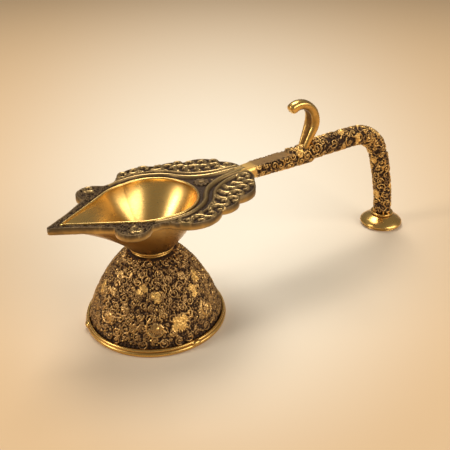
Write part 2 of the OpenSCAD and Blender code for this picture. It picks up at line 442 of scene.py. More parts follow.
@dataclass(frozen=True)
class PlainBrass:
    """Brass left as machined, on the fasteners inside."""

    name: str
    pale: Colour = (0.62, 0.42, 0.17)
    deep: Colour = (0.24, 0.15, 0.06)

    def make(self) -> bpy.types.Material:
        """Makes the finish.

        Returns:
            The material.
        """
        g = Graph(self.name)
        here = g.place()
        cloudy = g.noise(here, scale=260.0, detail=4.0, rough=0.6)
        colour = g.mix((cloudy * 1.6 - 0.4).clamped(), self.pale, self.deep)
        rough = (0.38 + (cloudy - 0.5) * 0.4).clamped()
        g.bump(g.noise(here, scale=2200.0), 0.25, 0.0001)
        return g.finish(colour, 1.0, rough)


@dataclass(frozen=True)
class FloorPaper:
    """Matt paper under the lamp, with a painted pool of light in its middle that dims to brown beyond."""

    name: str
    centre: tuple[float, float]
    ahead: tuple[float, float]
    pale: Colour = (0.90, 0.82, 0.68)
    tan: Colour = (0.70, 0.49, 0.285)
    throw: float = 0.531
    width: float = 3.28
    depth: float = 1.59

    def make(self) -> bpy.types.Material:
        """Makes the finish, whose pool of light widens with distance.

        Returns:
            The material.
        """
        g = Graph(self.name)
        x, y, _ = g.about(self.centre)
        far = x * self.ahead[0] + y * self.ahead[1]
        side = x * self.ahead[1] - y * self.ahead[0]
        spread = 1.0 / (far + self.throw).most(0.05)
        across, along = side * spread * self.width, far * spread * self.depth
        away = (across * across + along * along) ** 0.5
        # Painted pool of light: pale in the middle, darkening with distance to the falloff colour.
        colour = g.mix(away.band(0.1, 1.35), self.pale, self.tan)
        g.shader.inputs["Specular IOR Level"].default_value = 0.1
        return g.finish(colour, 0.0, 0.9)


# --- Meshes ---


@dataclass
class Piece:
    """A grid of points that becomes one mesh object, or that many equal blocks of rows set apart."""

    name: str
    points: np.ndarray
    close_rows: bool = False
    caps: bool = False
    crisp: bool = False
    blocks: int = 1
    marks: dict[str, np.ndarray] = field(default_factory=dict)

    def build(self) -> bpy.types.Object:
        """Builds the mesh, smooth shaded, and puts it in the scene.

        Returns:
            The object.
        """
        rows, turns = self.points.shape[:2]
        mesh = bpy.data.meshes.new(self.name)
        index = np.arange(rows * turns).reshape(rows, turns)
        down = np.roll(index, -1, 0) if self.close_rows else index[1:]
        here = index if self.close_rows else index[:-1]
        quads = np.stack([here, np.roll(here, -1, 1), np.roll(down, -1, 1), down], -1)
        if self.blocks > 1:
            quads = quads[np.arange(1, rows) % (rows // self.blocks) != 0]
        faces = quads.reshape(-1, 4).tolist()
        if self.caps:
            faces += [index[0, ::-1].tolist(), index[-1].tolist()]
        mesh.from_pydata((self.points.reshape(-1, 3) * MM).tolist(), [], faces)
        for key, marks in self.marks.items():
            made = mesh.attributes.new(key, "FLOAT", "POINT")
            made.data.foreach_set("value", marks.astype(np.float32).ravel())
        work = bmesh.new()
        work.from_mesh(mesh)
        if self.blocks > 1:
            bmesh.ops.remove_doubles(work, verts=work.verts, dist=WELD * MM)
        bmesh.ops.recalc_face_normals(work, faces=work.faces)
        work.to_mesh(mesh)
        work.free()
        mesh.shade_smooth()
        if self.crisp:
            mesh.set_sharp_from_angle(angle=CREASE)
        made = bpy.data.objects.new(self.name, mesh)
        bpy.context.scene.collection.objects.link(made)
        return made


def circle(count: int) -> np.ndarray:
    """Returns evenly spaced turns, in radians."""
    return np.arange(count) * TAU / count


def rings(axis: float, reach: np.ndarray, z: np.ndarray, angle: np.ndarray) -> np.ndarray:
    """Returns points at a reach and height from an upright axis, at each turn."""
    return np.stack([axis + reach * np.cos(angle), reach * np.sin(angle), z + 0 * angle], -1)


def arc(centre: tuple[float, float], radius: float, start: float, end: float, steps: int) -> list:
    """Points along an arc.

    Args:
        centre: The arc's centre.
        radius: Its radius.
        start: First angle, in degrees.
        end: Last angle, in degrees.
        steps: Number of points.

    Returns:
        The points.
    """
    turns = np.radians(np.linspace(start, end, steps))
    return [(centre[0] + radius * math.cos(a), centre[1] + radius * math.sin(a)) for a in turns]


def lathe(name: str, axis: float, profile: Sequence[tuple[float, float]], turns: int = 192,
          groove: Sequence[float] = ()) -> Piece:
    """Turns a profile about an upright axis.

    Args:
        name: The piece's name.
        axis: Where the axis stands along X.
        profile: Points of radius and height.
        turns: Steps around.
        groove: Depth of tarnish at each point, or nothing.

    Returns:
        The piece, not yet built.
    """
    outline = np.array(profile, float)
    points = rings(axis, outline[:, :1], outline[:, 1:], circle(turns))
    depth = np.array(groove, float) if len(groove) else np.zeros(len(outline))
    marks = {"groove": np.repeat(depth[:, None], turns, 1)}
    return Piece(name, points, close_rows=True, crisp=True, marks=marks)


def smooth(stops: Sequence[Sequence[float]], count: int) -> np.ndarray:
    """Draws a smooth line through points.

    Args:
        stops: The given points.
        count: Number of points on the line.

    Returns:
        The line.
    """
    points = np.array(stops)
    share = np.linspace(0, len(points) - 1, count)
    i = np.clip(share.astype(int), 0, len(points) - 2)
    t = (share - i)[:, None]
    p0, p1 = points[np.maximum(i - 1, 0)], points[i]
    p2, p3 = points[i + 1], points[np.minimum(i + 2, len(points) - 1)]
    cubic = (3 * p1 - p0 - 3 * p2 + p3) * t**3 + (2 * p0 - 5 * p1 + 4 * p2 - p3) * t**2
    return p1 + 0.5 * ((p2 - p0) * t + cubic)


def ball(radius: float, lift: float) -> Shape:
    """Returns the shape of a bead."""
    return lambda x, y: lift * np.sqrt(np.clip(1 - (x * x + y * y) / radius**2, 0, None))


def mound(radius: float, lift: float) -> Shape:
    """Returns the shape of a low smooth swelling."""
    return lambda x, y: lift * np.clip(1 - (x * x + y * y) / radius**2, 0, None) ** 0.35


def leaf(turn: float, length: float, width: float, lift: float) -> Shape:
    """Returns the shape of a leaf with a vein, from its stalk outward.

    Args:
        turn: Direction of the leaf, in radians.
        length: Its length.
        width: Its full width.
        lift: How far it stands up.

    Returns:
        The shape.
    """
    def shape(x: np.ndarray, y: np.ndarray) -> np.ndarray:
        """Works out the leaf's height.

        Args:
            x: Offsets along u.
            y: Offsets along v.

        Returns:
            The height there.
        """
        along = (x * math.cos(turn) + y * math.sin(turn)) / length
        across = -x * math.sin(turn) + y * math.cos(turn)
        half = width / 2 * np.sin(math.pi * np.clip(along, 0, 1)) ** 0.7 + 1e-6
        inside = np.clip(1 - (across / half) ** 2, 0, None)
        vein = 1 - 0.45 * np.exp(-((across / (0.16 * width)) ** 2))
        return np.where((along > 0) & (along < 1), lift * np.sqrt(inside) * vein, 0)

    return shape


class Relief:
    """A sheet on which ornament is laid, later wrapped on a body."""

    def __init__(self, length: float, girth: np.ndarray, step: float, seed: int,
                 origin: tuple[float, float] = (0.0, 0.0), wraps: bool = True) -> None:
        """Makes a bare sheet.

        Args:
            length: Size along u: one turn if the sheet wraps, or millimetres.
            girth: Millimetres to one unit of u, for each row.
            step: Height of a row, in millimetres.
            seed: Seed of the ornament's variation.
            origin: Place of the first cell.
            wraps: Whether the sheet closes on itself along u.
        """
        self.girth = girth
        self.step = step
        self.length = length
        self.columns = int(round(length * girth.max() / step))
        self.cell = length / self.columns
        self.height = np.zeros((len(girth), self.columns))
        self.rub = np.zeros_like(self.height)
        self.rng = np.random.default_rng(seed)
        self.origin = origin
        self.wraps = wraps

    def press(self, u: float, v: float, reach: float, shape: Shape, rub: float = 0.0) -> None:
        """Raises the sheet to a shape's height round one point.

        Args:
            u: The point's place along u.
            v: The point's place along v, in millimetres.
            reach: How far the shape goes.
            shape: Its height at offsets in millimetres.
            rub: How bright it is rubbed.
        """
        u, v = u - self.origin[0], v - self.origin[1]
        first = max(int((v - reach) / self.step), 0)
        last = min(int((v + reach) / self.step) + 2, len(self.girth))
        if first >= last:
            return
        girth = self.girth[first:last]
        half = int(reach / girth.min() / self.cell) + 1
        middle = int(round(u / self.cell))
        columns = np.arange(middle - half, middle + half + 1)
        if not self.wraps:
            columns = columns[(columns >= 0) & (columns < self.columns)]
        x = (columns * self.cell - u)[None, :] * girth[:, None]
        y = (np.arange(first, last) * self.step - v)[:, None] + 0 * x
        raised = shape(x, y)
        where = (np.arange(first, last)[:, None], columns[None, :] % self.columns)
        if rub:
            mask = rub * (raised > np.maximum(self.height[where], 0.02))
            self.rub[where] = np.maximum(self.rub[where], mask)
        self.height[where] = np.maximum(self.height[where], raised)

    def around(self, v: float) -> float:
        """Returns the millimetres to one unit of u at a place along v."""
        return self.girth[int(np.clip((v - self.origin[1]) / self.step, 0, len(self.girth) - 1))]

    def any_hand(self) -> Hand:
        """Returns either hand, at random."""
        return list(Hand)[self.rng.integers(2)]

    def wire(self, u: float, v: float, path: np.ndarray, thick: float, lift: float,
             taper: float = 0.0, rub: float = 0.0) -> None:
        """Lays a round wire.

        Args:
            u: The anchor's place along u.
            v: The anchor's place along v.
            path: Points in millimetres from the anchor.
            thick: Radius of the wire at its start.
            lift: How far it stands up.
            taper: Share of the radius lost by its end.
            rub: How bright it is rubbed.
        """
        scale, count = self.around(v), len(path) - 1
        for k in range(count):
            a, b = path[k], path[k + 1]
            radius = thick * (1 - taper * k / count)
            mid, ray = (a + b) / 2, b - a
            long = float(ray @ ray) + 1e-9
            shape = self._strand(a - mid, ray, long, radius, lift * (1 - 0.4 * taper * k / count))
            reach = radius + math.sqrt(long) / 2
            self.press(u + mid[0] / scale, v + mid[1], reach, shape, rub)

    @staticmethod
    def _strand(start: np.ndarray, ray: np.ndarray, long: float, radius: float, lift: float) -> Shape:
        """Returns the shape of one straight stretch of wire."""
        def shape(x: np.ndarray, y: np.ndarray) -> np.ndarray:
            """Works out the wire's height.

            Args:
                x: Offsets along u.
                y: Offsets along v.

            Returns:
                The height there.
            """
            t = np.clip(((x - start[0]) * ray[0] + (y - start[1]) * ray[1]) / long, 0, 1)
            away = (x - start[0] - t * ray[0]) ** 2 + (y - start[1] - t * ray[1]) ** 2
            return lift * np.sqrt(np.clip(1 - away / radius**2, 0, None))

        return shape

    def scroll(self, u: float, v: float, size: float, thick: float, lift: float,
               turn: float, hand: Hand, winds: float = 1.35, rub: float = 0.0) -> None:
        """Lays a spiral that ends in a bead.

        Args:
            u: Its centre along u.
            v: Its centre along v.
            size: Its outer radius.
            thick: Radius of the wire.
            lift: How far it stands up.
            turn: Direction of its outer end, in radians.
            hand: Which way it winds.
            winds: Number of turns.
            rub: How bright it is rubbed.
        """
        share = np.linspace(0, 1, max(int(size * winds * 3.2), 10))
        angle = turn + hand.value * winds * TAU * share
        reach = size * (1 - share) ** 0.75 + thick * 0.9 * share
        path = np.stack([reach * np.cos(angle), reach * np.sin(angle)], -1)
        self.wire(u, v, path, thick, lift, 0.25, rub)
        self.press(u, v, thick * 1.5, ball(thick * 1.5, lift * 1.08), rub)

    def flower(self, u: float, v: float, size: float, petals: int, lift: float) -> None:
        """Lays a ring of petals round a bead."""
        for k in range(petals):
            turn = k * TAU / petals
            self.press(u, v, size, leaf(turn, size, size * 0.75, lift))
        self.press(u, v, size * 0.3, ball(size * 0.3, lift * 1.2), 0.5)

    def cluster(self, u: float, v: float, size: float, grain: float, lift: float) -> None:
        """Lays a patch of beads packed side by side.

        Args:
            u: Its centre along u.
            v: Its centre along v.
            size: Radius of the patch.
            grain: Radius of a bead.
            lift: How far it stands up.
        """
        pitch = grain * 2.05
        count = int(size / pitch) + 1
        for i in range(-count, count + 1):
            for j in range(-count, count + 1):
                x = (i + 0.5 * (j % 2)) * pitch
                y = j * pitch * 0.87
                if x * x + y * y < size * size:
                    self.press(u + x / self.around(v), v + y, grain, ball(grain, lift), 0.45)

    def gravel(self, low: float, high: float, grain: float, lift: float) -> None:
        """Covers a band with a ground of small uneven grains."""
        area = (high - low) * self.length * float(self.girth.mean())
        for u, v in self.scatter(int(area * 2.2 / grain**2 / 4), grain * 1.7, low, high):
            size = grain * self.rng.uniform(0.8, 1.15)
            self.press(u, v, size, ball(size, lift * self.rng.uniform(0.7, 1.1)))

    def scatter(self, count: int, spacing: float, low: float, high: float) -> list[tuple[float, float]]:
        """Finds places that keep their distance from each other.

        Args:
            count: Number of tries.
            spacing: Least distance, in millimetres.
            low: Lowest v.
            high: Highest v.

        Returns:
            The places.
        """
        found = np.zeros((0, 2))
        tries = self.rng.random((count, 2)) * (self.length, high - low) + (self.origin[0], low)
        for place in tries:
            scale = self.around(place[1])
            if self.rng.random() > scale / self.girth.max():
                continue
            gap = np.abs(found[:, 0] - place[0])
            if self.wraps:
                gap = np.minimum(gap, self.length - gap)
            near = (gap * scale) ** 2 + (found[:, 1] - place[1]) ** 2
            if len(found) == 0 or near.min() > spacing**2:
                found = np.vstack([found, place])
        return [tuple(place) for place in found]

    def overgrow(self, low: float, high: float, curl: float, thick: float, lift: float) -> None:
        """Covers a band of the sheet with scrolls, tendrils, leaves and beads.

        Args:
            low: Lowest v.
            high: Highest v.
            curl: Radius of the larger scrolls.
            thick: Radius of their wire.
            lift: How far it stands up.
        """
        area = (high - low) * self.length * float(self.girth.mean())
        for u, v in self.scatter(int(area * 0.5), curl * 1.75, low, high):
            size = curl * self.rng.uniform(0.75, 1.2)
            hand = self.any_hand()
            self.scroll(u, v, size, thick, lift * self.rng.uniform(0.85, 1.1),
                        self.rng.uniform(0, TAU), hand, self.rng.uniform(1.0, 1.7), 0.25)
        for u, v in self.scatter(int(area * 1.3), curl * 0.68, low, high):
            turn = self.rng.uniform(0, TAU)
            kind = self.rng.random()
            if kind < 0.45:
                size = curl * self.rng.uniform(0.32, 0.5)
                self.scroll(u, v, size, thick * 0.8, lift * 0.9, turn, self.any_hand(), 1.0, 0.1)
            elif kind < 0.75:
                long = curl * self.rng.uniform(0.6, 1.0)
                self.press(u, v, long, leaf(turn, long, long * 0.45, lift * 0.95), 0.15)
            else:
                self.tendril(u, v, curl * self.rng.uniform(0.8, 1.5), thick * 0.75, lift * 0.9, turn)
        for u, v in self.scatter(int(area * 1.6), thick * 2.3, low, high):
            if self.rng.random() < 0.5:
                grain = thick * self.rng.uniform(0.9, 1.35)
                self.press(u, v, grain, ball(grain, lift * 1.05), self.rng.uniform(0.2, 0.9))

    def tendril(self, u: float, v: float, long: float, thick: float, lift: float, turn: float) -> None:
        """Lays a wavy wire.

        Args:
            u: Its centre along u.
            v: Its centre along v.
            long: Its length.
            thick: Radius of the wire.
            lift: How far it stands up.
            turn: Its direction, in radians.
        """
        share = np.linspace(-0.5, 0.5, 9)
        sway = long * 0.2 * np.sin(share * TAU * 0.9)
        x = share * long * math.cos(turn) - sway * math.sin(turn)
        y = share * long * math.sin(turn) + sway * math.cos(turn)
        self.wire(u, v, np.stack([x, y], -1), thick, lift, 0.2, 0.1)

    def read(self, u: np.ndarray, v: np.ndarray) -> list[np.ndarray]:
        """Reads the sheet between its cells.

        Args:
            u: Places along u.
            v: Places along v.

        Returns:
            The height and the rub there.
        """
        column = (u - self.origin[0]) / self.cell
        row = np.clip((v - self.origin[1]) / self.step, 0, len(self.girth) - 1.001)
        if not self.wraps:
            column = np.clip(column, 0, self.columns - 1.001)
        c, r = np.floor(column).astype(int), np.floor(row).astype(int)
        s, t = column - c, row - r
        left, right = c % self.columns, (c + 1) % self.columns
        found = []
        for layer in (self.height, self.rub):
            upper = layer[r, left] * (1 - s) + layer[r, right] * s
            lower = layer[r + 1, left] * (1 - s) + layer[r + 1, right] * s
            found.append(upper * (1 - t) + lower * t)
        return found


@dataclass(frozen=True)
class Coat:
    """A finish and the record's material slot that it goes with."""

    finish: ReliefPatina | SatinBrass | TurnedBrass | FiledBrass | PlainBrass
    slot: Slot

    def cover(self, made: bpy.types.Object) -> None:
        """Puts the finish on an object, in place of what it had.

        Args:
            made: The object.
        """
        material = bpy.data.materials.get(self.finish.name) or self.finish.make()
        made.data.materials.clear()
        made.data.materials.append(material)

    def dress(self, made: bpy.types.Object, body: Body, node: str) -> None:
        """Finishes a new piece, which moves with a body and stands for a node.

        Args:
            made: The piece.
            body: The body that it moves with.
            node: The CAD node that it replaces.
        """
        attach(made, body.value)
        self.cover(made)
        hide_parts(node)
        LOG.info("%s: %d faces on %s", made.name, len(made.data.polygons), body.value)


class Box:
    """A node's place, in millimetres."""

    def __init__(self, node: str) -> None:
        """Reads the node's lowest and highest corners."""
        self.low, self.high = ([side / MM for side in corner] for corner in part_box(node))
        self.middle = (self.low[0] + self.high[0]) / 2


# --- The lamp ---


@dataclass
class Stand:
    """The domed stand with its rolled rim, wire and lugs."""

    axis: float
    rim_radius: float
    rim_height: float
    crown: float
    dome_radius: float = 37.5
    wall: float = 2.4
    hole: float = 5.3
    seat: float = 9.0
    peak: float = 4.5
    fullness: float = 1.2
    turns: int = 660
    rows: int = 128
    step: float = 0.13
    lift: float = 1.2
    ground: float = 0.5
    edge_run: float = 0.8
    beads: int = 96
    bead_height: float = 1.3
    wire_radius: float = 0.9
    lug_size: tuple[float, float, float] = (1.5, 2.9, 1.7)
    lug_turns: tuple[float, ...] = (-87.0, 40.0, 166.0)
    # Turn in degrees, place up the profile and radius, of the flowers and of the worn patches.
    medallions: tuple[tuple[float, float, float], ...] = (
        (-62.0, 13.0, 5.6), (-118.0, 12.0, 6.4), (-10.0, 14.0, 5.6), (42.0, 12.5, 6.0),
        (95.0, 13.0, 5.6), (150.0, 12.0, 6.2), (-168.0, 14.0, 5.6),
    )
    rubbed: tuple[tuple[float, float, float], ...] = (
        (-70.0, 26.0, 3.4), (-58.0, 31.0, 3.6), (-96.0, 12.0, 4.6), (-118.0, 28.0, 3.0), (-134.0, 33.0, 3.4),
        (-20.0, 24.0, 3.2), (20.0, 30.0, 3.4), (70.0, 26.0, 3.6), (120.0, 30.0, 3.2), (165.0, 25.0, 3.4),
    )

    def profile(self, share: np.ndarray) -> np.ndarray:
        """Returns points of radius and height on the bare dome, from the rim up.

        Args:
            share: Places from 0 at the rim to 1 at the crown.

        Returns:
            The points.
        """
        z = self.rim_height + (self.crown - self.rim_height) * np.sin(share * math.pi / 2)
        up = (z - self.rim_height) / (self.crown + self.peak - self.rim_height)
        return np.stack([self.dome_radius * np.sqrt(1 - up**self.fullness), z], -1)

    def relief(self, length: float, radii: np.ndarray) -> Relief:
        """Lays the dome's ornament.

        Args:
            length: Length of the profile.
            radii: Radius at each row of the sheet.

        Returns:
            The finished sheet.
        """
        sheet = Relief(TAU, radii, self.step, seed=11)
        sheet.gravel(2.6, length - 0.6, 0.6, self.lift * 0.66)
        for turn, v, size in self.rubbed:
            u = math.radians(turn) % TAU
            for _ in range(4):
                x, y = sheet.rng.uniform(-size, size, 2) * 0.6
                sheet.press(u + x / 35, v + y, size * 0.6, mound(size * 0.6, self.lift * 0.62), 0.75)
        sheet.overgrow(3.2, length - 0.8, 2.5, 0.4, self.lift)
        for turn, v, size in self.medallions:
            u = math.radians(turn) % TAU
            sheet.scroll(u, v, size, 0.55, self.lift * 1.15, 2.2, Hand.LEFT, 0.95, 0.5)
            sheet.flower(u, v, size * 0.55, 7, self.lift * 1.1)
        for u, v in sheet.scatter(260, 9.5, 8.0, length - 6.0):
            sheet.cluster(u, v, 2.4, 0.52, self.lift)
        for u in circle(self.beads):
            sheet.press(u, self.bead_height, 0.8, ball(0.75, self.lift * 0.45))
        return sheet

    def dome(self) -> Piece:
        """Makes the dome as a hollow shell with its relief.

        Returns:
            The piece, not yet built.
        """
        share = np.linspace(0, 1, 1200)
        line = self.profile(share)
        along = np.concatenate([[0], np.cumsum(np.linalg.norm(np.diff(line, axis=0), axis=1))])
        stations = np.arange(0, along[-1] + self.step, self.step)
        sheet = self.relief(along[-1], np.interp(stations, along, line[:, 0]))
        v = np.linspace(0, along[-1], self.rows)
        r = np.interp(v, along, line[:, 0])
        z = np.interp(v, along, line[:, 1])
        slope = np.stack([np.gradient(r), np.gradient(z)], -1)
        slope /= np.linalg.norm(slope, axis=1)[:, None]
        angle = circle(self.turns)
        u, rows = np.meshgrid(angle, v)
        fade = np.minimum(1, np.minimum(rows, along[-1] - rows) / self.edge_run)
        height, rub = sheet.read(u, rows)
        stand_out = (height - self.ground) * fade
        outer_r = r[:, None] + slope[:, 1:] * stand_out
        outer_z = z[:, None] - slope[:, :1] * stand_out
        inner = self.profile(np.linspace(1, 0, 17))
        ceiling = self.crown - self.wall
        inner = np.stack([inner[:, 0] - self.wall, np.minimum(inner[:, 1], ceiling)], -1)
        inside = np.array([(self.seat, self.crown), (self.hole, self.crown), (self.hole, ceiling), *inner])
        full_r = np.vstack([outer_r, np.repeat(inside[:, :1], self.turns, 1)])
        full_z = np.vstack([outer_z, np.repeat(inside[:, 1:], self.turns, 1)])
        bare = np.zeros((len(inside), self.turns))
        marks = {"relief": np.vstack([height / self.lift, bare + 0.35]), "rub": np.vstack([rub, bare])}
        return Piece("relief_dome", rings(self.axis, full_r, full_z, angle), close_rows=True, marks=marks)

    def rim(self) -> Piece:
        """Makes the rolled rim with a groove under its upper edge.

        Returns:
            The piece, not yet built.
        """
        edge = self.rim_height / 2
        outer = self.rim_radius - edge
        inner = self.dome_radius - self.wall
        roll = arc((outer, edge), edge, -90, 90, 25)
        profile = [(inner, 0), *roll, (inner, self.rim_height)]
        depth = [0.0, *(0.6 if z > self.rim_height * 0.82 else 0.0 for _, z in roll), 0.9]
        return lathe("rolled_rim", self.axis, profile, 256, depth)

    def wire(self) -> Piece:
        """Makes the wire soldered on the rim, a little uneven by hand.

        Returns:
            The piece, not yet built.
        """
        centre = (self.rim_radius - 1.5, self.rim_height + self.wire_radius - 0.2)
        angle = circle(256)
        made = lathe("rim_wire_ring", self.axis, arc(centre, self.wire_radius, 0, 345, 16), len(angle))
        made.points[..., 2] += 0.10 * np.sin(3 * angle + 0.7) + 0.06 * np.sin(11 * angle)
        return made

    def lugs(self) -> Piece:
        """Makes the three lugs, as soft blobs of solder over the wire.

        Returns:
            The piece, not yet built.
        """
        high, around = np.radians(np.linspace(-90, 90, 15))[:, None], circle(20)
        deep, wide, tall = self.lug_size
        reach = self.rim_radius - 0.6 + deep * np.cos(high) * np.cos(around)
        side = wide * np.cos(high) ** 0.8 * np.sin(around)
        z = 2.9 + tall * np.sin(high) + 0 * around
        blobs = []
        for a in np.radians(self.lug_turns):
            x, y = reach * np.cos(a) - side * np.sin(a), reach * np.sin(a) + side * np.cos(a)
            blobs.append(np.stack([self.axis + x, y, z], -1))
        return Piece("rim_lug_blobs", np.vstack(blobs), blocks=len(blobs))

    def build(self, patina: Coat, turned: Coat) -> None:
        """Builds the stand's pieces and dresses them."""
        patina.dress(self.dome().build(), Body.STAND, "base_dome")
        for piece, node in ((self.rim(), "base_rim"), (self.wire(), "rim_wire"), (self.lugs(), "rim_lugs")):
            turned.dress(piece.build(), Body.STAND, node)


@dataclass
class Neck:
    """The turned collar between stand and bowl."""

    axis: float
    low: float
    high: float
    radius: float
    bore: float = 5.05

    def build(self, turned: Coat) -> None:
        """Builds the collar: a low band, a groove and a fuller upper band.

        Args:
            turned: The finish of what is turned.
        """
        upper, lower = self.radius - 0.95, self.radius - 1.55
        profile = [
            (self.bore, self.low), *arc((lower, self.low + 0.65), 0.65, -90, 70, 9),
            (lower + 0.1, self.low + 1.42), *arc((upper, self.high - 0.95), 0.95, -60, 90, 13),
            (self.bore, self.high),
        ]
        depth = [1.0, *[0.15] * 9, 1.0, *[0.0] * 13, 0.8]
        made = lathe("turned_collar", self.axis, profile, 192, depth).build()
        turned.dress(made, Body.COLLAR, "neck_collar")


@dataclass
class Bowl:
    """The oil bowl: round behind, with straight cheeks that meet in a point."""

    axis: float
    floor: float
    rim: float
    nose: float
    heel: float
    heel_shift: float
    cheek: float = 24.0
    cheek_shift: float = -4.0
    foot: float = 13.2
    wall: float = 1.5
    side_height: float = 4.7
    side_levels: tuple[float, ...] = (1.2, 2.4, 3.4)
    floor_wall: float = 2.0
    floor_rings: tuple[float, ...] = (0.75, 0.5, 0.25, 0.04)
    turns: int = 288

    def outline(self, turn: np.ndarray) -> np.ndarray:
        """Works out how far the bowl reaches.

        Args:
            turn: Turns from the rear, in radians.

        Returns:
            The reach at each turn.
        """
        t = np.abs((turn + math.pi) % TAU - math.pi)
        slope = math.asin(self.cheek / (self.nose + self.cheek_shift))
        start = math.atan2(self.cheek * math.cos(slope), self.cheek_shift - self.cheek * math.sin(slope))
        straight = self.nose * math.sin(slope) / np.cos(t - math.pi / 2 - slope)
        discs = []
        for shift, radius in ((self.heel_shift, self.heel), (self.cheek_shift, self.cheek)):
            discs.append(shift * np.cos(t) + np.sqrt(radius**2 - (shift * np.sin(t)) ** 2))
        return np.where(t > start, straight, np.maximum(*discs))

    def level(self, share: float, z: float, inset: float, angle: np.ndarray) -> np.ndarray:
        """Returns one level of the bowl.

        Args:
            share: Share of the bowl's depth, from 0 at its foot to 1 at its side.
            z: Height of the level.
            inset: How far it lies inside the outer skin.
            angle: Turns from the rear.

        Returns:
            The level's points.
        """
        edge = self.outline(angle)
        keel = np.clip((edge - self.heel) / (self.nose - self.heel), 0, 1)
        swell = (1 - (1 - share) ** (1.5 - 0.6 * keel)) ** (1 + 0.5 * keel)
        return rings(self.axis, self.foot + (edge - self.foot) * swell - inset, z, angle)

    def build(self, satin: Coat) -> None:
        """Builds the bowl with a softly rounded lip.

        Args:
            satin: The finish of the bowl.
        """
        angle = circle(self.turns)
        side = self.rim - self.side_height
        rise = side - self.floor
        levels = [self.level(s, self.floor + rise * s, 0, angle) for s in np.linspace(0, 1, 30)]
        lip = self.wall / 2
        levels += [self.level(1, side + up, 0, angle) for up in self.side_levels]
        outside = len(levels)
        for out, up in arc((-lip, self.rim - lip), lip, 0, 180, 9):
            levels.append(self.level(1, up, -out, angle))
        inner_floor, inner_top = self.floor + self.floor_wall, self.rim - lip - 0.4
        for s in np.linspace(1, 0, 38):
            z = inner_floor + (inner_top - inner_floor) * s
            levels.append(self.level(s, z, self.wall * (2 - s), angle))
        base, centre = levels[-1], np.array([self.axis, 0.0, inner_floor])
        levels += [centre + (base - centre) * share for share in self.floor_rings]
        tarnish = np.zeros((len(levels), self.turns))
        tarnish[:outside] = 1
        made = Piece("satin_bowl", np.array(levels), caps=True, marks={"tarnish": tarnish}).build()
        satin.dress(made, Body.LAMP_TOP, "bowl")


